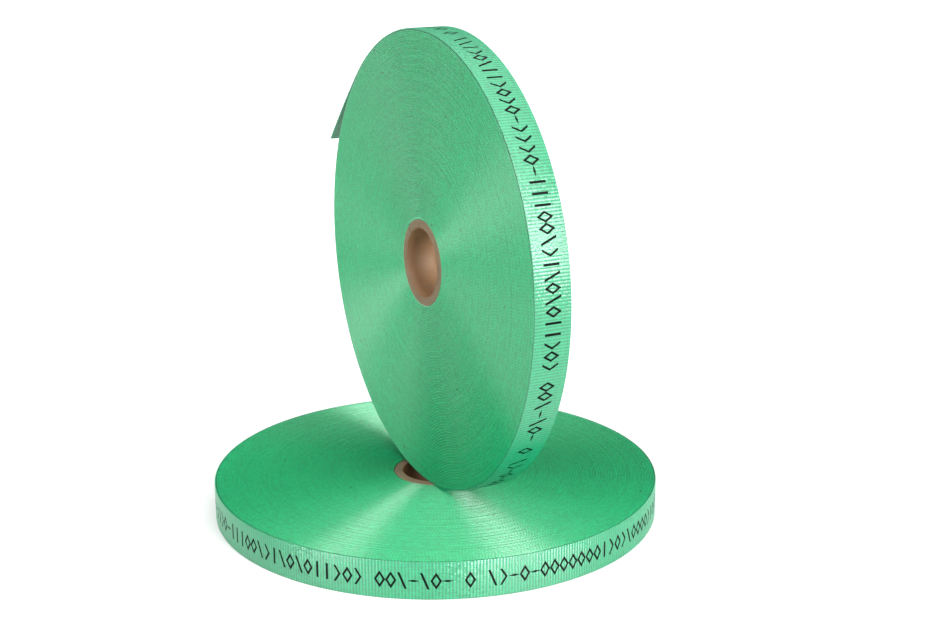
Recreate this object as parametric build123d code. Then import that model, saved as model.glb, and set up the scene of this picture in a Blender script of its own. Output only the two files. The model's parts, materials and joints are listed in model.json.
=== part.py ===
"""Two equal rolls of woven polyester lashing strap on paper cores, in millimetres.

One roll lies flat. The other stands on its rim on the flat roll's upper face, close to its middle.
The origin is the centre of the flat roll's lower face, +Z is up along the flat roll's core, and -Y is
the way the standing roll's front face looks.

Each roll is first made in its own frame: its lower face at z = 0, its core along z, and the line where
the free end leaves the roll on the +x axis. Seen from above, the strap runs clockwise towards its free
end. The last turn is a spiral of two half circles whose centres lie a quarter of a pitch either side
of the roll's axis, so the strap climbs one pitch in one turn and the halves meet without a corner.
"""
import os
from math import pi, radians, sin

from build123d import *

# strap
STRAP_WIDTH = 38.0
STRAP_THICKNESS = 1.6
ROLL_DIAMETER = 460.0  # of the last turn's outer surface, halfway round
LAST_TURN_GAP = 0.3  # the last turn has relaxed this far off the turns under it

# free end: it keeps a little of its set, so it is a much wider arc than the roll
FREE_END_LENGTH = 106.0
FREE_END_RADIUS = 1350.0
FREE_END_CLEARANCE = 0.3  # between the last turn's end and the free end, for the bend line

# paper core, from the bore outwards
CORE_BORE = 70.0
LINER_PLY = 0.6
TUBE_WALL = 6.8
COVER_PLY = 0.6
GLUE_LINE = 0.05  # between one paper and the next
CORE_LENGTH = STRAP_WIDTH  # the core is cut to the strap's width

# tape that starts the strap on the core
TAPE_THICKNESS = 0.2
TAPE_ARC = 60.0  # degrees round the core
TAPE_CLEARANCE = 0.05  # on each side of the tape
TAPE_EDGE = 2.0  # the tape stops this far inside each face of the roll

# how the rolls stand to each other
STACK_GAP = 0.5  # between the standing roll's rim and the edge of the flat roll's bore that it bears on
STANDING_X = 17.0  # the standing roll's axis is this far to the right of the flat roll's
STANDING_Y = -3.7  # and its mid-plane this far in front
FLAT_END_ANGLE = 170.0  # where the flat roll's free end leaves, from +X towards +Y
STANDING_END_ANGLE = 134.0  # where the standing roll's leaves, from +X towards +Z

# worked out from the sizes above
PITCH = STRAP_THICKNESS + LAST_TURN_GAP
MEAN_RADIUS = ROLL_DIAMETER / 2
LINER_OUTER = CORE_BORE / 2 + LINER_PLY
TUBE_INNER = LINER_OUTER + GLUE_LINE
TUBE_OUTER = TUBE_INNER + TUBE_WALL
COVER_INNER = TUBE_OUTER + GLUE_LINE
COVER_OUTER = COVER_INNER + COVER_PLY
TAPE_INNER = COVER_OUTER + TAPE_CLEARANCE
TAPE_OUTER = TAPE_INNER + TAPE_THICKNESS
COIL_INNER = TAPE_OUTER + TAPE_CLEARANCE
BEND_RADIUS = MEAN_RADIUS + PITCH / 2  # from the roll's axis to the free end's bend line


def tube(inner, outer, length):
    """A plain tube along z, from z = 0."""
    section = Circle(outer) - Circle(inner)
    return extrude(section, length)


def half_circle(outward, side):
    """Half of the last turn's outer line, moved out by outward.

    side is 1 for the half behind the bend line (y > 0) and -1 for the half before it.
    """
    centre = side * PITCH / 4
    radius = MEAN_RADIUS + side * PITCH / 4 + outward
    return CenterArc((centre, 0), radius, 0, side * 180)


def spiral_area(outward):
    """The area inside one turn of the spiral, closed by its step on the +x axis."""
    behind = half_circle(outward, 1)
    before = half_circle(outward, -1)
    step = Line(before @ 0, behind @ 0)
    return make_face([behind, before, step])


def wound_coil():
    """Every turn under the last one: they lie tight, so they are one solid with a step where the last turn starts."""
    section = spiral_area(-PITCH) - Circle(COIL_INNER)
    return extrude(section, STRAP_WIDTH)


def last_turn():
    """The last full turn, from its start at the coil's step to the bend line, one strap thick."""
    outer_behind = half_circle(0, 1)
    outer_before = half_circle(0, -1)
    inner_behind = half_circle(-STRAP_THICKNESS, 1)
    inner_before = half_circle(-STRAP_THICKNESS, -1)
    end_edge = Line(inner_behind @ 0, outer_behind @ 0)
    start_edge = Line(inner_before @ 0, outer_before @ 0)
    outline = [outer_behind, outer_before, start_edge, inner_before, inner_behind, end_edge]
    return extrude(make_face(outline), STRAP_WIDTH)


def free_end():
    """The strap past the bend line: a wider arc, tangent to the last turn."""
    centre = BEND_RADIUS - FREE_END_RADIUS
    start = -FREE_END_CLEARANCE / FREE_END_RADIUS * 180 / pi
    sweep = -(FREE_END_LENGTH - FREE_END_CLEARANCE) / FREE_END_RADIUS * 180 / pi
    outer = CenterArc((centre, 0), FREE_END_RADIUS, start, sweep)
    inner = CenterArc((centre, 0), FREE_END_RADIUS - STRAP_THICKNESS, start, sweep)
    root = Line(inner @ 0, outer @ 0)
    cut = Line(inner @ 1, outer @ 1)
    return extrude(make_face([outer, cut, inner, root]), STRAP_WIDTH)


def start_tape():
    """The strip that holds the strap's first end, round part of the core."""
    outer = CenterArc((0, 0), TAPE_OUTER, 0, TAPE_ARC)
    inner = CenterArc((0, 0), TAPE_INNER, 0, TAPE_ARC)
    sides = [Line(inner @ 0, outer @ 0), Line(inner @ 1, outer @ 1)]
    strip = extrude(make_face([outer, inner, *sides]), STRAP_WIDTH - 2 * TAPE_EDGE)
    return Pos(0, 0, TAPE_EDGE) * strip


def roll_pieces():
    """Each piece of one roll in the roll's own frame, by name."""
    return {
        "core_liner": tube(CORE_BORE / 2, LINER_OUTER, CORE_LENGTH),
        "core_tube": tube(TUBE_INNER, TUBE_OUTER, CORE_LENGTH),
        "core_cover": tube(COVER_INNER, COVER_OUTER, CORE_LENGTH),
        "start_tape": start_tape(),
        "wound_coil": wound_coil(),
        "last_turn": last_turn(),
        "free_end": free_end(),
    }


def drop_into_bore():
    """How far the standing roll's lowest line hangs below the edge of the flat roll's bore it bears on.

    The roll bears where its farther rim edge crosses the bore, at this reach from the lowest line.
    """
    rim_edge = abs(STANDING_Y) + STRAP_WIDTH / 2
    half_chord = max((CORE_BORE / 2) ** 2 - rim_edge**2, 0) ** 0.5
    reach = max(half_chord - abs(STANDING_X), 0)
    return MEAN_RADIUS - (MEAN_RADIUS**2 - reach**2) ** 0.5


def standing_centre_height():
    """Height of the standing roll's axis, with one stack gap over the edge that it bears on.

    The lowest point is a quarter turn plus the end's angle behind the bend line. Which half circle it
    is on sets its radius, and how far that half's centre stands above the roll's axis.
    """
    turned_back = (STANDING_END_ANGLE + 90) % 360
    side = 1 if turned_back < 180 else -1
    radius = MEAN_RADIUS + side * PITCH / 4
    centre_rise = side * PITCH / 4 * sin(radians(STANDING_END_ANGLE))
    return STRAP_WIDTH + STACK_GAP - drop_into_bore() + radius - centre_rise


FLAT_PLACE = Rot(0, 0, FLAT_END_ANGLE)
STANDING_PLACE = (
    Pos(STANDING_X, STANDING_Y - STRAP_WIDTH / 2, standing_centre_height())
    * Rot(-90, 0, 0)
    * Rot(0, 0, -STANDING_END_ANGLE)
)
PLACES = {"flat": FLAT_PLACE, "standing": STANDING_PLACE}


def print_bend_lines():
    """The bend line's point and the free end's length, for the record's joints."""
    for roll, place in PLACES.items():
        point = (place * Pos(BEND_RADIUS, 0, STRAP_WIDTH / 2)).position
        print(f"{roll} bend line at {point.X:.3f} {point.Y:.3f} {point.Z:.3f}")
    turns = (MEAN_RADIUS - COIL_INNER) / STRAP_THICKNESS
    wound = pi * (MEAN_RADIUS**2 - COIL_INNER**2) / STRAP_THICKNESS / 1000
    print(f"about {turns:.0f} turns and {wound:.0f} m of strap a roll")
    print(f"standing axis at height {standing_centre_height():.3f}")


os.makedirs("parts", exist_ok=True)
for roll, place in PLACES.items():
    for name, piece in roll_pieces().items():
        export_step(place * piece, f"parts/{roll}_{name}.step")
print_bend_lines()
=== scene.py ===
"""Two rolls of green woven polyester lashing strap on paper cores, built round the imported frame.

The rolls' places come from the frame: each core bore's mount gives the roll's axis, and each free end's
joint gives the bend line where the strap leaves the roll. In a roll's own frame the lower face is at
z = 0, the core lies along z and the bend line is on the +x axis. The strap behind the bend line goes
round towards +y, and the free end runs on towards -y.
"""
import json
from math import cos, pi, radians, sin, tau

import bmesh
import bpy
import numpy as np
from mathutils import Matrix, Vector


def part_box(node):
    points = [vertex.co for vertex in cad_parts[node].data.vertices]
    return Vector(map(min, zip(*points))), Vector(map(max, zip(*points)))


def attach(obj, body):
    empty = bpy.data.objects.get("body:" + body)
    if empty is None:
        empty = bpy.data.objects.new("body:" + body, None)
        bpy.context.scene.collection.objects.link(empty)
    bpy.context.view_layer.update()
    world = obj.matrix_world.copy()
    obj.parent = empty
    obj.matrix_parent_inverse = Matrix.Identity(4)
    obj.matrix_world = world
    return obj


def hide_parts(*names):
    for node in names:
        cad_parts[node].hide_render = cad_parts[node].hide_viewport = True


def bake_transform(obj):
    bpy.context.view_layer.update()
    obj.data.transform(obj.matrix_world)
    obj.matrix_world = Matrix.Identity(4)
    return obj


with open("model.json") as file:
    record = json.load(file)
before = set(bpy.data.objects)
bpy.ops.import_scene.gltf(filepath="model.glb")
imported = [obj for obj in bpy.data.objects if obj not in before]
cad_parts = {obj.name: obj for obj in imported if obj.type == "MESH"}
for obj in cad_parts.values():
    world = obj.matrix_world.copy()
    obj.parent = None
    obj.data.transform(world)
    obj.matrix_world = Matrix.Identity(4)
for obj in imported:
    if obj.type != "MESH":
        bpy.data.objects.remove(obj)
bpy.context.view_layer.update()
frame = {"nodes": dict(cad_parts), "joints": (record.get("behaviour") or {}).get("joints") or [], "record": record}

bl_info = {
    "name": "Lashing strap rolls",
    "version": (1, 0, 0),
    "blender": (4, 5, 0),
    "location": "View3D > Sidebar > Strap rolls",
    "description": "Builds a pair of rolls of woven lashing strap on paper cores, and their studio",
    "category": "Object",
}

MM = 0.001
ROLLS = ("flat", "standing")
MOUNTS = {m["name"]: m for m in frame["record"]["mounts"]}
JOINTS = {j["name"]: j for j in frame["joints"]}
STRAP_UV = "strap"  # along the strap and across it, in metres
INNER_SIDE = 1.0  # added to the distance across on the side that faces the core, to keep ink off it
SHARP = radians(50)  # the strap's surface is smooth but for folds sharper than this
MATH = "ShaderNodeMath"
VECTOR = "ShaderNodeVectorMath"


def linear(hex_colour):
    """An sRGB hex colour as linear red, green, blue and full alpha."""
    channels = [int(hex_colour[i : i + 2], 16) / 255 for i in (1, 3, 5)]
    curved = [c / 12.92 if c <= 0.04045 else ((c + 0.055) / 1.055) ** 2.4 for c in channels]
    return (*curved, 1.0)


def length(name, description, default_mm):
    """A size in metres that the sidebar shows, from its default in millimetres."""
    return bpy.props.FloatProperty(
        name=name, description=description, default=default_mm * MM, unit="LENGTH", precision=5
    )


def colour(name, description, default):
    """A colour that the sidebar shows, from its sRGB hex default."""
    return bpy.props.FloatVectorProperty(
        name=name, description=description, default=linear(default), size=4, subtype="COLOR", min=0, max=1
    )


class StrapSizes(bpy.types.PropertyGroup):
    thickness: length("Thickness", "Thickness of the strap", 1.6)
    last_gap: length("Last turn gap", "How far the last turn has relaxed off the turns under it", 0.3)
    end_length: length("Free end", "Length of strap past the bend line", 106)
    end_radius: length("Free end radius", "Radius that the free end keeps from being wound", 1350)
    end_bend: length("Free end bend", "Length over which the free end bends when it is lifted", 14)
    rib_pitch: length("Rib pitch", "Distance from one crosswise rib to the next", 3.1)
    rib_height: length("Rib height", "Height of a rib above the dip beside it", 0.34)
    rounding: length("Edge rounding", "Radius of the strap's woven edge", 0.7)
    edge_dip: length("Edge dip", "Depth of the dip between the edges of two turns", 0.45)
    edge_wander: length("Edge wander", "How unevenly the turns' edges lie", 0.22)
    ply: length("Core ply", "Thickness of one ply of the paper core", 0.62)


class StrapColours(bpy.types.PropertyGroup):
    strap: colour("Strap", "Green of the strap's broad side", "#0b9262")
    # This darker green paints the shade in the rib dips, and also gives the yarns' own darker streaks and floats.
    strap_shade_and_tone: colour("Strap, deep", "Green in the dips of the weave", "#075838")
    # The edges are the same yarn as the broad side, but get a lighter green: painted light on the roll's faces.
    edge: colour("Strap edge", "Green of the strap's edges on a roll's face", "#0fbc76")
    # This darker green paints the shade in the dip between two turns' edges, and also gives the loops' own darker
    # flecks and turns.
    edge_shade_and_tone: colour("Strap edge, deep", "Green between two turns' edges", "#0a7448")
    ink: colour("Ink", "Ink of the marks along the strap", "#07130d")
    greyboard: colour("Greyboard", "Cut end of the paper core", "#665742")
    # The liner's kraft brown is set darker than the paper's own: painted shade for the inside of the core's bore.
    liner: colour("Liner", "Smooth paper inside the core", "#6a4b2a")
    cover: colour("Cover", "Brown paper round the core", "#7d674d")
    tape: colour("Tape", "Paper tape under the first turn", "#cdbb8c")
    floor: colour("Floor", "Pale floor", "#d8d8d8")


class Roll:
    """One roll's place and radii, read from the frame."""

    def __init__(self, name, sizes):
        mount = MOUNTS[f"{name}_core_bore"]
        axis = -Vector(mount["axis"])
        centre = Vector(mount["pos_m"])
        bend = Vector(JOINTS[f"{name}_end_peel"]["pos_m"])
        low, high = (corner.dot(axis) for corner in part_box(f"{name}_wound_coil"))
        origin = centre + axis * (low - centre.dot(axis))
        outward = bend - centre
        outward -= axis * outward.dot(axis)
        along_x = outward.normalized()
        turned = Matrix((along_x, axis.cross(along_x), axis)).transposed()
        self.name = name
        self.place = Matrix.Translation(origin) @ turned.to_4x4()
        self.bend = bend
        self.width = high - low
        self.bend_radius = outward.length
        self.pitch = sizes.thickness + sizes.last_gap
        self.mean_radius = self.bend_radius - self.pitch / 2
        self.way_out = turned @ Vector((0, -1, 0))  # the way the strap runs at the bend line

    def radii(self, node):
        """The inner and outer radius of a CAD ring round this roll's core."""
        mesh = frame["nodes"][f"{self.name}_{node}"].data
        back = self.place.inverted()
        points = np.array([back @ v.co for v in mesh.vertices])
        distance = np.hypot(points[:, 0], points[:, 1])
        return distance.min(), distance.max()


# shapes


def climb(turned):
    """How many pitches the strap stands above its middle radius, this far back from the bend line.

    It falls from a half to minus a half over one turn, as two half circles with offset centres do.
    """
    side = np.where(turned < pi, 1.0, -1.0)
    return side * (1 + np.cos(turned)) / 4


def wander(along, seed, per_turn=2):
    """Smooth chance values from -1 to 1 along the strap, which is measured in turns."""
    table = np.random.default_rng(seed).uniform(-1, 1, 4096)
    step = along * per_turn + 2000
    whole = np.floor(step).astype(int)
    part = step - whole
    part = part * part * (3 - 2 * part)
    return table[whole] * (1 - part) + table[whole + 1] * part


def upright_outline(name, inner, outer, height, rounding=0.0):
    """A closed outline standing on the xz plane, ready to spin, and left in edit mode."""
    bpy.ops.object.select_all(action="DESELECT")
    bpy.ops.mesh.primitive_plane_add(
        size=1, location=((inner + outer) / 2, 0, height / 2), rotation=(pi / 2, 0, 0)
    )
    made = bpy.context.active_object
    made.name = made.data.name = name
    made.scale = (outer - inner, height, 1)
    bpy.ops.object.transform_apply(location=True, rotation=True, scale=True)
    bpy.ops.object.mode_set(mode="EDIT")
    bpy.ops.mesh.select_all(action="SELECT")
    if rounding:
        bpy.ops.mesh.bevel(offset=rounding, segments=3, affect="VERTICES")
        bpy.ops.mesh.select_all(action="SELECT")
    bpy.ops.mesh.delete(type="ONLY_FACE")
    return made


def cut_level_edges(made, pieces):
    """Divides each level edge of an outline into equal pieces, given as factors no larger than 100."""
    bpy.ops.mesh.select_mode(type="EDGE")
    bpy.ops.mesh.select_all(action="DESELECT")
    mesh = bmesh.from_edit_mesh(made.data)
    for edge in mesh.edges:
        low, high = (v.co for v in edge.verts)
        edge.select = abs(low.z - high.z) < abs(low.x - high.x)
    bmesh.update_edit_mesh(made.data)
    for count in pieces:
        bpy.ops.mesh.subdivide(number_cuts=count - 1)


def spin(made, steps, sweep, cuts=0):
    """Spins the outline by sweep about the z axis, towards +y where sweep is positive.

    Each step is then cut again into equal pieces. Returns the points and how far each has turned.
    """
    bpy.ops.object.mode_set(mode="OBJECT")
    row = len(made.data.vertices)
    bpy.ops.object.mode_set(mode="EDIT")
    bpy.ops.mesh.select_all(action="SELECT")
    axis = (0, 0, -1 if sweep > 0 else 1)
    bpy.ops.mesh.spin(
        steps=steps, angle=abs(sweep), use_auto_merge=False, center=(0, 0, 0), axis=axis
    )
    if cuts:
        bpy.ops.mesh.select_mode(type="EDGE")
        bpy.ops.mesh.select_all(action="DESELECT")
        mesh = bmesh.from_edit_mesh(made.data)
        mesh.verts.ensure_lookup_table()
        for edge in mesh.edges:
            low, high = (v.index // row for v in edge.verts)
            edge.select = low != high
        bmesh.update_edit_mesh(made.data)
        bpy.ops.mesh.subdivide(number_cuts=cuts)
    bpy.ops.object.mode_set(mode="OBJECT")
    points = np.empty(len(made.data.vertices) * 3)
    made.data.vertices.foreach_get("co", points)
    points = points.reshape(-1, 3)
    turned = np.arctan2(points[:, 1], points[:, 0])
    turned = np.where(turned * sweep < 0, turned + np.sign(sweep) * tau, turned)
    turned[:row] = 0
    turned[steps * row : (steps + 1) * row] = sweep
    return points, turned


def set_points(made, radius, turned, height, centre_x=0.0):
    """Puts each point at its radius, angle and height about an upright line."""
    x = centre_x + radius * np.cos(turned)
    y = radius * np.sin(turned)
    made.data.vertices.foreach_set("co", np.stack([x, y, height], 1).ravel())


def set_strap_uv(made, along, across, inner_side=None):
    """Writes the UV map: along the strap and across it. Faces on the inner side are set apart."""
    layer = made.data.uv_layers.new(name=STRAP_UV)
    corner = np.empty(len(made.data.loops), int)
    made.data.loops.foreach_get("vertex_index", corner)
    uv = np.stack([along[corner], across[corner]], 1)
    if inner_side is not None:
        totals = np.empty(len(made.data.polygons), int)
        made.data.polygons.foreach_get("loop_total", totals)
        face = np.repeat(np.arange(len(totals)), totals)
        share = np.bincount(face, inner_side[corner]) / totals
        uv[:, 1] += np.where(share[face] > 0.5, INNER_SIDE, 0.0)
    layer.data.foreach_set("uv", uv.ravel())


def close_up(made, roll, smooth_angle=None):
    """Merges the seam, closes the ends, turns the faces out and puts the piece in its roll's place."""
    bpy.ops.object.mode_set(mode="EDIT")
    bpy.ops.mesh.select_all(action="SELECT")
    bpy.ops.mesh.remove_doubles(threshold=0.01 * MM)
    bpy.ops.mesh.select_all(action="SELECT")
    bpy.ops.mesh.fill_holes(sides=0)
    bpy.ops.mesh.select_all(action="SELECT")
    bpy.ops.mesh.normals_make_consistent(inside=False)
    bpy.ops.object.mode_set(mode="OBJECT")
    if smooth_angle is None:
        bpy.ops.object.shade_smooth()
    else:
        bpy.ops.object.shade_smooth_by_angle(angle=smooth_angle)
    made.data.transform(roll.place)


def ringed_block(roll, name, inner, outer, rings, steps, shape, chance, climb_by=0.0, hug=0.0):
    """A ring round the core whose two faces are cut into ridges, one for each turn or ply.

    shape gives how far the points of one ridge lie under its crest, from the dip at its inner side.
    chance is how unevenly the ridges lie, and the seed for it. Wound turns climb by a pitch each turn,
    and the first one hugs the core at this radius until it meets its own start.
    """
    made = upright_outline(name, inner, outer, roll.width)
    per_ring = len(shape)
    cut_level_edges(made, (*rings, per_ring))
    points, turned = spin(made, steps, tau)
    count = int(np.prod(rings))
    ring_width = (outer - inner) / count
    radius = np.hypot(points[:, 0], points[:, 1])
    column = np.round((radius - inner) / ring_width * per_ring).astype(int)
    number = column // per_ring
    part = column % per_ring
    along = np.where(part > 0, number + 0.5, number) - turned / tau
    # the outermost edge has no neighbour and hardly dips
    depth = np.array(shape)[part] * np.where(number < count, 1.0, 0.3)
    amount, seed = chance
    height = points[:, 2]
    upper = height > roll.width / 2
    uneven = amount * (1 + np.where(upper, wander(along, seed), wander(along, seed + 1))) / 2
    # a dip lies less evenly than a crest
    uneven *= np.where(part > 0, 1.0, 1.6)
    height = np.where(upper, height - depth - uneven, height + depth + uneven)
    radius = radius + climb_by * climb(turned)
    if hug:
        off_start = np.clip(turned / radians(16), 0, 1)
        radius = np.where(column == 0, radius + (hug - radius) * off_start, radius)
    set_points(made, radius, turned, height)
    set_strap_uv(made, turned / tau, column / per_ring)
    close_up(made, roll)
    return made


def strap_band(roll, name, sizes, outer, ribs, sweep, centre_x=0.0, climb_by=0.0):
    """A ribbed strap spun about an upright line, closed and in its roll's place.

    Ribs cross both sides in four rows of points each: crest, slope, dip and slope. They fade out over
    the rounded edge, where the weft's loops show instead.
    """
    inner = outer - sizes.thickness
    made = upright_outline(name, inner - centre_x, outer - centre_x, roll.width, sizes.rounding)
    bpy.ops.mesh.select_all(action="SELECT")
    points, turned = spin(made, ribs, sweep, cuts=3)
    radius = np.hypot(points[:, 0], points[:, 1])
    middle = (inner + outer) / 2 - centre_x
    off_middle = radius - middle
    across = points[:, 2]
    from_edge = np.minimum(across, roll.width - across)
    flat = np.clip((from_edge - 0.4 * sizes.rounding) / (1.6 * sizes.rounding), 0, 1)
    wave = np.cos(np.round(turned / sweep * ribs * 4) * pi / 2)
    chance = wander(turned / tau * np.sign(sweep), 21, per_turn=331)
    rib = sizes.rib_height / 2 * wave * (1 + 0.25 * chance)
    radius = radius + np.sign(off_middle) * rib * flat
    toward_edge = np.where(across > roll.width / 2, 1.0, -1.0)
    loop = 0.12 * MM * (wave - 1) * (1 - flat)
    # the strap's width wanders slowly, by up to 0.2 mm at each edge
    slow = 0.1 * MM * (wander(turned / tau, 33, per_turn=9) - 1)
    height = across + toward_edge * (loop + slow * (from_edge < roll.width / 4))
    radius = radius + climb_by * climb(np.abs(turned))
    set_points(made, radius, turned, height, centre_x)
    set_strap_uv(made, turned * middle, across, (off_middle < 0).astype(float))
    close_up(made, roll, SHARP)
    return made


# materials


def node(tree, kind, inputs=None, output=0, **settings):
    """Adds a node with its settings and returns one of its outputs.

    Each input is a value, or a socket that is linked to it.
    """
    made = tree.nodes.new(kind)
    for name, value in settings.items():
        setattr(made, name, value)
    for name, value in (inputs or {}).items():
        if isinstance(value, bpy.types.NodeSocket):
            tree.links.new(value, made.inputs[name])
        else:
            made.inputs[name].default_value = value
    return made.outputs[output]


def new_material(name):
    """An empty material, its node tree and its Principled shader."""
    made = bpy.data.materials.new(name)
    made.use_nodes = True
    return made, made.node_tree, made.node_tree.nodes["Principled BSDF"]


def uv_axes(tree, scale):
    """The two axes of the strap's UV map, each times its scale."""
    uv = node(tree, "ShaderNodeUVMap", uv_map=STRAP_UV)
    scaled = node(tree, VECTOR, {0: uv, 1: (*scale, 1.0)}, operation="MULTIPLY")
    return [node(tree, "ShaderNodeSeparateXYZ", {0: scaled}, output=axis) for axis in ("X", "Y")]


def yarn_shine(tree, shader, tip_across, tip_along, level):
    """Long smooth yarns that run along the strap, with their roundness given as two slopes.

    Light spreads across the yarns and hardly at all along them, as it does on satin. Drawn polyester
    bends light more strongly along the yarn than moulded polyester does.
    """
    normal = node(tree, "ShaderNodeNewGeometry", output="Normal")
    tangent = node(tree, "ShaderNodeTangent", direction_type="UV_MAP", uv_map=STRAP_UV)
    across = node(tree, VECTOR, {0: normal, 1: tangent}, operation="CROSS_PRODUCT")
    for way, slope in ((across, tip_across), (tangent, tip_along)):
        tip = node(tree, VECTOR, {0: way, "Scale": slope}, operation="SCALE")
        normal = node(tree, VECTOR, {0: normal, 1: tip}, operation="ADD")
    normal = node(tree, VECTOR, {0: normal}, operation="NORMALIZE")
    tree.links.new(normal, shader.inputs["Normal"])
    tree.links.new(tangent, shader.inputs["Tangent"])
    shader.inputs["IOR"].default_value = 1.65
    shader.inputs["Specular IOR Level"].default_value = level
    shader.inputs["Anisotropic"].default_value = 0.8
    shader.inputs["Anisotropic Rotation"].default_value = 0.25


def woven_polyester(colours, sizes, width):
    """Woven polyester yarn, heat set: satin yarns over crosswise ribs, with pressed ink marks."""
    made, tree, shader = new_material("woven_polyester_strap")
    along, across = uv_axes(tree, (1 / MM, 1 / MM))
    rib_phase = node(tree, MATH, {0: along, 1: tau * MM / sizes.rib_pitch}, operation="MULTIPLY")
    rib = node(tree, MATH, {0: rib_phase}, operation="COSINE")
    # warp yarns, which show as fine lines along the strap
    yarn_gap = 0.9
    yarn_phase = node(tree, MATH, {0: across, 1: tau / yarn_gap}, operation="MULTIPLY")
    yarn = node(tree, MATH, {0: yarn_phase}, operation="SINE")
    place = node(tree, "ShaderNodeCombineXYZ", {0: along, 1: across})
    # each yarn float over a rib is a cell of its own, and takes the light a little differently
    cells = (MM / sizes.rib_pitch, 1 / yarn_gap, 1.0)
    cell_place = node(tree, VECTOR, {0: place, 1: cells}, operation="MULTIPLY")
    cell = node(tree, VECTOR, {0: cell_place}, operation="FLOOR")
    float_tone = node(tree, "ShaderNodeTexWhiteNoise", {"Vector": cell}, noise_dimensions="2D")
    # yarns vary in tone over some 25 mm of their length
    streak_place = node(tree, VECTOR, {0: place, 1: (0.04, 0.7, 1.0)}, operation="MULTIPLY")
    streaks = node(tree, "ShaderNodeTexNoise", {"Vector": streak_place, "Scale": 1.0, "Detail": 3.0})
    # Lighter on each rib's crest and darker in its dip: painted light and shade of the ribs, on top of the yarns'
    # own streak and float tones.
    tone = node(tree, MATH, {0: rib, 1: 0.26, 2: 0.12}, operation="MULTIPLY_ADD")
    tone = node(tree, MATH, {0: streaks, 1: 0.6, 2: tone}, operation="MULTIPLY_ADD")
    tone = node(tree, MATH, {0: float_tone, 1: 0.3, 2: tone}, operation="MULTIPLY_ADD")
    greens = {0: tone, 6: tuple(colours.strap_shade_and_tone), 7: tuple(colours.strap)}
    cloth = node(tree, "ShaderNodeMix", greens, output=2, data_type="RGBA")
    ink = ink_marks(tree, along, across, width / MM)
    printed = {0: ink, 6: cloth, 7: tuple(colours.ink)}
    inked = node(tree, "ShaderNodeMix", printed, output=2, data_type="RGBA")
    tree.links.new(inked, shader.inputs["Base Color"])
    tip_across = node(tree, MATH, {0: yarn, 1: 0.25}, operation="MULTIPLY")
    rib_tip = node(tree, MATH, {0: rib_phase}, operation="SINE")
    tip_along = node(tree, MATH, {0: float_tone, 1: 0.2, 2: -0.1}, operation="MULTIPLY_ADD")
    tip_along = node(tree, MATH, {0: rib_tip, 1: 0.2, 2: tip_along}, operation="MULTIPLY_ADD")
    roughness = node(tree, "ShaderNodeMapRange", {"Value": ink, "To Min": 0.36, "To Max": 0.7})
    tree.links.new(roughness, shader.inputs["Roughness"])
    # the ink's pigment coats the yarns and takes their satin glint away
    dull = node(tree, MATH, {0: ink, 1: 0.9}, operation="MULTIPLY")
    tree.links.new(dull, shader.inputs["Metallic"])
    yarn_shine(tree, shader, tip_across, tip_along, 0.8)
    return made


def ink_marks(tree, along, across, width):
    """Plain printed marks in a row along the strap's middle: diamonds, arrows, slashes and bars.

    Each mark has a cell of its own, and a chance value for the cell picks which mark it is. Sizes are
    in millimetres: a mark's line is drawn where the distance to it is under half its width.
    """
    cell, half_height, half_line, lean = 10.5, 8.2, 1.2, 0.62
    counted = node(tree, MATH, {0: along, 1: 1 / cell}, operation="MULTIPLY")
    number = node(tree, MATH, {0: counted}, operation="FLOOR")
    part = node(tree, MATH, {0: counted}, operation="FRACT")
    x = node(tree, MATH, {0: part, 1: cell, 2: -cell / 2}, operation="MULTIPLY_ADD")
    y = node(tree, MATH, {0: across, 1: width / 2}, operation="SUBTRACT")
    tall = node(tree, MATH, {0: y}, operation="ABSOLUTE")
    wide = node(tree, MATH, {0: x}, operation="ABSOLUTE")
    pick = node(tree, "ShaderNodeTexWhiteNoise", {"W": number}, noise_dimensions="1D")
    slant = node(tree, MATH, {0: y, 1: 0.4, 2: x}, operation="MULTIPLY_ADD")
    slash = node(tree, MATH, {0: slant}, operation="ABSOLUTE")
    arrow_line = node(tree, MATH, {0: tall, 1: lean, 2: x}, operation="MULTIPLY_ADD")
    arrow_off = node(tree, MATH, {0: arrow_line, 1: 2.6}, operation="SUBTRACT")
    arrow = node(tree, MATH, {0: arrow_off}, operation="ABSOLUTE")
    diamond_sum = node(tree, MATH, {0: tall, 1: lean, 2: wide}, operation="MULTIPLY_ADD")
    diamond_off = node(tree, MATH, {0: diamond_sum, 1: 4.2}, operation="SUBTRACT")
    diamond = node(tree, MATH, {0: diamond_off}, operation="ABSOLUTE")
    dash = node(tree, MATH, {0: wide, 1: 0.2, 2: tall}, operation="MULTIPLY_ADD")
    distance = diamond
    for shape, share in ((arrow, 0.55), (slash, 0.4), (wide, 0.26), (dash, 0.14)):
        chosen = node(tree, MATH, {0: pick, 1: share}, operation="LESS_THAN")
        distance = node(tree, "ShaderNodeMix", {0: chosen, 2: distance, 3: shape})
    # ink bleeds a little into the yarns, so a mark's outline is soft
    line = {"Value": distance, "From Min": half_line + 0.15, "From Max": half_line - 0.15}
    height = {"Value": tall, "From Min": half_height + 0.2, "From Max": half_height - 0.2}
    drawn = node(tree, "ShaderNodeMapRange", line)
    inside = node(tree, "ShaderNodeMapRange", height)
    # some cells stay empty
    printed = node(tree, MATH, {0: pick, 1: 0.06}, operation="GREATER_THAN")
    drawn = node(tree, MATH, {0: drawn, 1: inside}, operation="MULTIPLY")
    return node(tree, MATH, {0: drawn, 1: printed}, operation="MULTIPLY")


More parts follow.
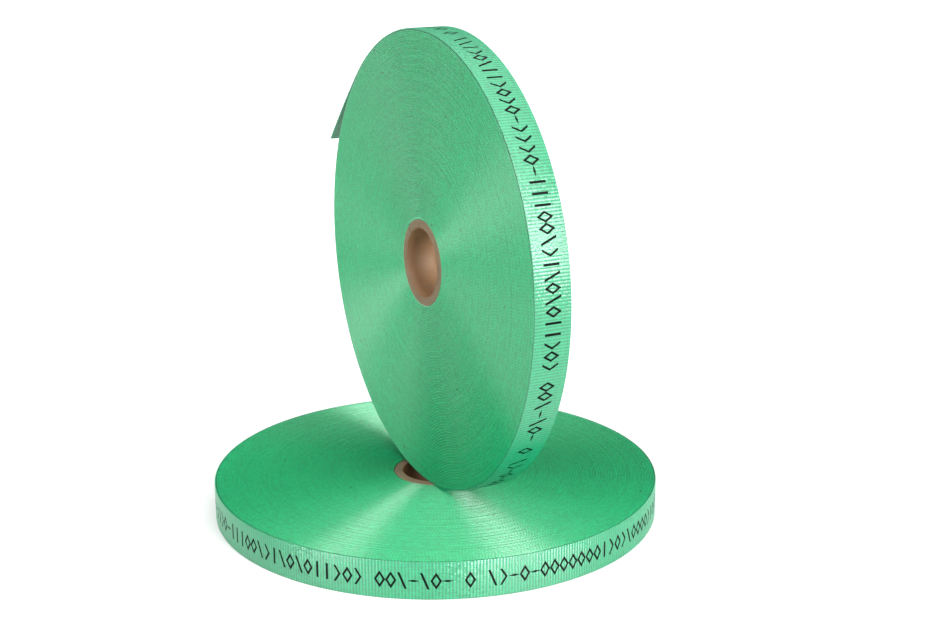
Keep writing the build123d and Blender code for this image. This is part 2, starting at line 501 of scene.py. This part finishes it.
def turn_edges(colours, sizes, inner):
    """The strap's woven edges side by side: each turn is a row of small yarn loops with a satin glint.

    The UV map gives the part of a turn gone round, and the turn's number counted from the core.
    """
    made, tree, shader = new_material("woven_strap_edges")
    round_part, turn = uv_axes(tree, (1, 1))
    number = node(tree, MATH, {0: turn}, operation="FLOOR")
    part = node(tree, MATH, {0: turn}, operation="FRACT")
    gone = node(tree, MATH, {0: number, 1: round_part}, operation="SUBTRACT")  # turns of strap
    own = node(
        tree, "ShaderNodeTexNoise", {"W": gone, "Scale": 0.9, "Detail": 1.0}, noise_dimensions="1D"
    )
    loops_a_turn = tau / sizes.rib_pitch
    radius = {0: number, 1: sizes.thickness * loops_a_turn, 2: inner * loops_a_turn}
    girth = node(tree, MATH, radius, operation="MULTIPLY_ADD")
    loops = node(tree, MATH, {0: round_part, 1: girth}, operation="MULTIPLY")
    shifted = node(tree, MATH, {0: own, 1: 9.0, 2: loops}, operation="MULTIPLY_ADD")
    slanted = node(tree, MATH, {0: part, 1: 0.5, 2: shifted}, operation="MULTIPLY_ADD")
    phase = node(tree, MATH, {0: slanted, 1: tau}, operation="MULTIPLY")
    wave = node(tree, MATH, {0: phase}, operation="SINE")
    lean = node(tree, MATH, {0: phase}, operation="COSINE")
    round_phase = node(tree, MATH, {0: part, 1: tau}, operation="MULTIPLY")
    dip = node(tree, MATH, {0: round_phase}, operation="COSINE")  # 1 in the dip, -1 on the crest
    loop_number = node(tree, MATH, {0: slanted}, operation="FLOOR")
    loop_place = node(tree, "ShaderNodeCombineXYZ", {0: loop_number, 1: number})
    fleck = node(tree, "ShaderNodeTexWhiteNoise", {"Vector": loop_place}, noise_dimensions="2D")
    # Darker in the dip between two turns: painted shade. The loops' wave, the flecks and each turn's own noise
    # vary the tone as well.
    tone = node(tree, MATH, {0: dip, 1: -0.3, 2: 0.2}, operation="MULTIPLY_ADD")
    tone = node(tree, MATH, {0: wave, 1: 0.2, 2: tone}, operation="MULTIPLY_ADD")
    tone = node(tree, MATH, {0: fleck, 1: 0.4, 2: tone}, operation="MULTIPLY_ADD")
    tone = node(tree, MATH, {0: own, 1: 0.4, 2: tone}, operation="MULTIPLY_ADD")
    greens = {0: tone, 6: tuple(colours.edge_shade_and_tone), 7: tuple(colours.edge)}
    cloth = node(tree, "ShaderNodeMix", greens, output=2, data_type="RGBA")
    stray = node(tree, MATH, {0: fleck, 1: 0.9997}, operation="GREATER_THAN")  # stray ink on a loop
    flecked = {0: stray, 6: cloth, 7: tuple(colours.ink)}
    inked = node(tree, "ShaderNodeMix", flecked, output=2, data_type="RGBA")
    tree.links.new(inked, shader.inputs["Base Color"])
    # each turn's edge shows two rows of round loops, which lean to both sides
    rows = node(tree, MATH, {0: part, 1: 2.0}, operation="MULTIPLY")
    row = node(tree, MATH, {0: rows}, operation="FRACT")
    side = node(tree, MATH, {0: row, 1: -2.0, 2: 1.0}, operation="MULTIPLY_ADD")
    way = node(tree, MATH, {0: side}, operation="SIGN")
    steep = node(tree, MATH, {0: side}, operation="ABSOLUTE")
    steep = node(tree, MATH, {0: steep, 1: 0.6}, operation="POWER")
    steep = node(tree, MATH, {0: steep, 1: 1.36}, operation="MULTIPLY")
    steep = node(tree, MATH, {0: steep}, operation="TANGENT")
    tip_across = node(tree, MATH, {0: steep, 1: way}, operation="MULTIPLY")
    tip_along = node(tree, MATH, {0: lean, 1: 0.12}, operation="MULTIPLY")
    shader.inputs["Roughness"].default_value = 0.34
    yarn_shine(tree, shader, tip_across, tip_along, 0.75)
    return made


def paper(name, base, roughness, fibre_mm, contrast, bump_mm):
    """Uncoated paper or board: matt, with short fibres in two close tones."""
    made, tree, shader = new_material(name)
    coords = node(tree, "ShaderNodeTexCoord", output="Object")
    fine = {"Vector": coords, "Scale": 1 / (fibre_mm * MM), "Detail": 6.0}
    broad = {"Vector": coords, "Scale": 1 / (12 * fibre_mm * MM), "Detail": 2.0}
    fibres = node(tree, "ShaderNodeTexNoise", fine)
    blotches = node(tree, "ShaderNodeTexNoise", broad)
    tone = node(tree, MATH, {0: fibres, 1: blotches}, operation="ADD")
    tone = node(tree, MATH, {0: tone, 1: contrast, 2: 1 - contrast}, operation="MULTIPLY_ADD")
    tinted = node(tree, VECTOR, {0: base[:3], "Scale": tone}, operation="SCALE")
    tree.links.new(tinted, shader.inputs["Base Color"])
    relief = {"Strength": 0.6, "Distance": bump_mm * MM, "Height": fibres}
    tree.links.new(node(tree, "ShaderNodeBump", relief), shader.inputs["Normal"])
    shader.inputs["Roughness"].default_value = roughness
    return made


# operators


def settings():
    """The sizes and colours that the sidebar shows."""
    return bpy.context.scene.strap_sizes, bpy.context.scene.strap_colours


def both_rolls(sizes):
    """The flat roll and the standing one."""
    return [Roll(name, sizes) for name in ROLLS]


def finish_piece(made, material, replaced):
    """Gives a piece its material and slot, and lets it stand for its CAD node."""
    made.data.materials.clear()
    made.data.materials.append(material)
    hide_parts(replaced)


class STRAP_OT_wound_turns(bpy.types.Operator):
    """Builds the turns under each roll's last one, every turn's edge a ridge of its own"""

    bl_idname = "strap.wound_turns"
    bl_label = "Wound turns"

    def execute(self, context):
        sizes, colours = settings()
        rings = (23, 5)
        turns = rings[0] * rings[1]
        dip = sizes.edge_dip
        shape = (dip, 0.22 * dip, 0.0, 0.22 * dip)
        clear = (sizes.last_gap + sizes.rib_height) / 2
        for roll in both_rolls(sizes):
            outer = roll.bend_radius - 1.5 * sizes.thickness - clear
            inner = outer - turns * sizes.thickness
            material = bpy.data.materials.get("woven_strap_edges")
            material = material or turn_edges(colours, sizes, inner)
            made = ringed_block(
                roll,
                f"{roll.name}_turns",
                inner,
                outer,
                rings,
                96,
                shape,
                (sizes.edge_wander, 5),
                climb_by=sizes.thickness,
                hug=roll.radii("wound_coil")[0],
            )
            finish_piece(made, material, f"{roll.name}_wound_coil")
            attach(made, f"{roll.name}_roll")
        return {"FINISHED"}


class STRAP_OT_last_turns(bpy.types.Operator):
    """Builds each roll's last turn, ribbed across and marked with ink"""

    bl_idname = "strap.last_turns"
    bl_label = "Last turns"

    def execute(self, context):
        sizes, colours = settings()
        for roll in both_rolls(sizes):
            material = bpy.data.materials.get("woven_polyester_strap")
            material = material or woven_polyester(colours, sizes, roll.width)
            outer = roll.mean_radius
            ribs = round(tau * outer / sizes.rib_pitch)
            made = strap_band(
                roll, f"{roll.name}_outer_turn", sizes, outer, ribs, tau, climb_by=roll.pitch
            )
            finish_piece(made, material, f"{roll.name}_last_turn")
            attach(made, f"{roll.name}_roll")
        return {"FINISHED"}


class STRAP_OT_free_ends(bpy.types.Operator):
    """Builds each roll's free end, which bends off the roll at its bend line"""

    bl_idname = "strap.free_ends"
    bl_label = "Free ends"

    def execute(self, context):
        sizes, colours = settings()
        ribs = round(sizes.end_length / sizes.rib_pitch)
        for roll in both_rolls(sizes):
            material = bpy.data.materials["woven_polyester_strap"]
            made = strap_band(
                roll,
                f"{roll.name}_end",
                sizes,
                roll.bend_radius,
                ribs,
                -sizes.end_length / sizes.end_radius,
                centre_x=roll.bend_radius - sizes.end_radius,
            )
            finish_piece(made, material, f"{roll.name}_free_end")
            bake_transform(made)
        return {"FINISHED"}


class STRAP_OT_cores(bpy.types.Operator):
    """Builds each roll's paper core from its liner, its board plies and its cover"""

    bl_idname = "strap.cores"
    bl_label = "Paper cores"

    def execute(self, context):
        sizes, colours = settings()
        board = paper("greyboard_cut_end", colours.greyboard, 0.85, 0.8, 0.5, 0.15)
        liner = paper("kraft_liner", colours.liner, 0.6, 0.6, 0.3, 0.05)
        cover = paper("kraft_cover", colours.cover, 0.8, 0.8, 0.4, 0.1)
        tape = paper("paper_tape", colours.tape, 0.7, 0.8, 0.3, 0.03)
        fine = 0.12 * MM
        shape = (fine, 0.3 * fine, 0.0, 0.3 * fine)
        for roll in both_rolls(sizes):
            # each paper's node, piece, material and slot, how unevenly it is cut in mm, and a seed
            for node_name, piece, material, slot, uneven, seed in (
                ("core_tube", "board", board, "greyboard", 0.25, 41),
                ("core_liner", "liner_ply", liner, "kraft_liner", 0.2, 51),
                ("core_cover", "cover_ply", cover, "kraft_cover", 0.2, 61),
            ):
                inner, outer = roll.radii(node_name)
                plies = max(1, round((outer - inner) / sizes.ply))
                made = ringed_block(
                    roll,
                    f"{roll.name}_{piece}",
                    inner,
                    outer,
                    (plies,),
                    120,
                    shape,
                    (uneven * MM, seed),
                )
                finish_piece(made, material, f"{roll.name}_{node_name}")
                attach(made, f"{roll.name}_roll")
            hidden = frame["nodes"][f"{roll.name}_start_tape"]
            hidden.data.materials.clear()
            hidden.data.materials.append(tape)
        return {"FINISHED"}


class STRAP_OT_stage(bpy.types.Operator):
    """Lays the pale floor and sets the soft studio lights and the camera"""

    bl_idname = "strap.stage"
    bl_label = "Floor, lights and camera"

    def execute(self, context):
        colours = settings()[1]
        bpy.ops.object.select_all(action="DESELECT")
        bpy.ops.mesh.primitive_plane_add(size=40, location=(0, 0, 0))
        floor = bpy.context.active_object
        floor.name = floor.data.name = "studio_floor"
        floor.data.materials.append(paper("floor_paint", colours.floor, 0.9, 40.0, 0.01, 0.0))
        world = bpy.data.worlds.new("studio_air")
        world.use_nodes = True
        world.node_tree.nodes["Background"].inputs[0].default_value = (1, 1, 1, 1)
        world.node_tree.nodes["Background"].inputs[1].default_value = 0.2
        context.scene.world = world
        context.scene.view_settings.view_transform = "Standard"
        # each light's compass angle from +X, height angle, apparent width, all in degrees, and power
        for name, compass, up, wide, power in (
            ("right_softbox", 17, 17, 22, 5.0),
            ("left_softbox", -78, 20, 16, 2.3),
            ("overhead_softbox", 0, 88, 110, 3.4),
            ("front_softbox", -10, 50, 50, 1.0),
        ):
            a, e = radians(compass), radians(up)
            away = Vector((cos(a) * cos(e), sin(a) * cos(e), sin(e)))
            bpy.ops.object.light_add(type="SUN", location=away * 3)
            light = bpy.context.active_object
            light.name = name
            light.data.angle = radians(wide)
            light.data.energy = power
            light.rotation_euler = away.to_track_quat("Z", "Y").to_euler()
        # a 61 mm view from a little above, towards the standing roll's rim
        bpy.ops.object.camera_add(
            location=(1.4192, -0.6847, 0.6655), rotation=(radians(73.704), 0, radians(62.762))
        )
        camera = bpy.context.active_object
        camera.name = "studio_camera"
        camera.data.lens = 60.77
        camera.data.sensor_width = 36
        context.scene.camera = camera
        return {"FINISHED"}


class STRAP_PT_panel(bpy.types.Panel):
    """Lists the sizes, the colours and the steps that build the rolls"""

    bl_label = "Strap rolls"
    bl_idname = "STRAP_PT_panel"
    bl_space_type = "VIEW_3D"
    bl_region_type = "UI"
    bl_category = "Strap rolls"

    def draw(self, context):
        for group in settings():
            box = self.layout.box()
            for name in group.__annotations__:
                box.prop(group, name)
        for operator in OPERATORS:
            self.layout.operator(operator.bl_idname)


OPERATORS = (
    STRAP_OT_stage,
    STRAP_OT_wound_turns,
    STRAP_OT_last_turns,
    STRAP_OT_free_ends,
    STRAP_OT_cores,
)
CLASSES = (StrapSizes, StrapColours, *OPERATORS, STRAP_PT_panel)


def register():
    for made in CLASSES:
        bpy.utils.register_class(made)
    bpy.types.Scene.strap_sizes = bpy.props.PointerProperty(type=StrapSizes)
    bpy.types.Scene.strap_colours = bpy.props.PointerProperty(type=StrapColours)


def unregister():
    del bpy.types.Scene.strap_colours
    del bpy.types.Scene.strap_sizes
    for made in reversed(CLASSES):
        bpy.utils.unregister_class(made)


def main():
    register()
    bpy.ops.strap.stage()
    bpy.ops.strap.wound_turns()
    bpy.ops.strap.last_turns()
    bpy.ops.strap.free_ends()
    bpy.ops.strap.cores()


if __name__ == "__main__":
    main()
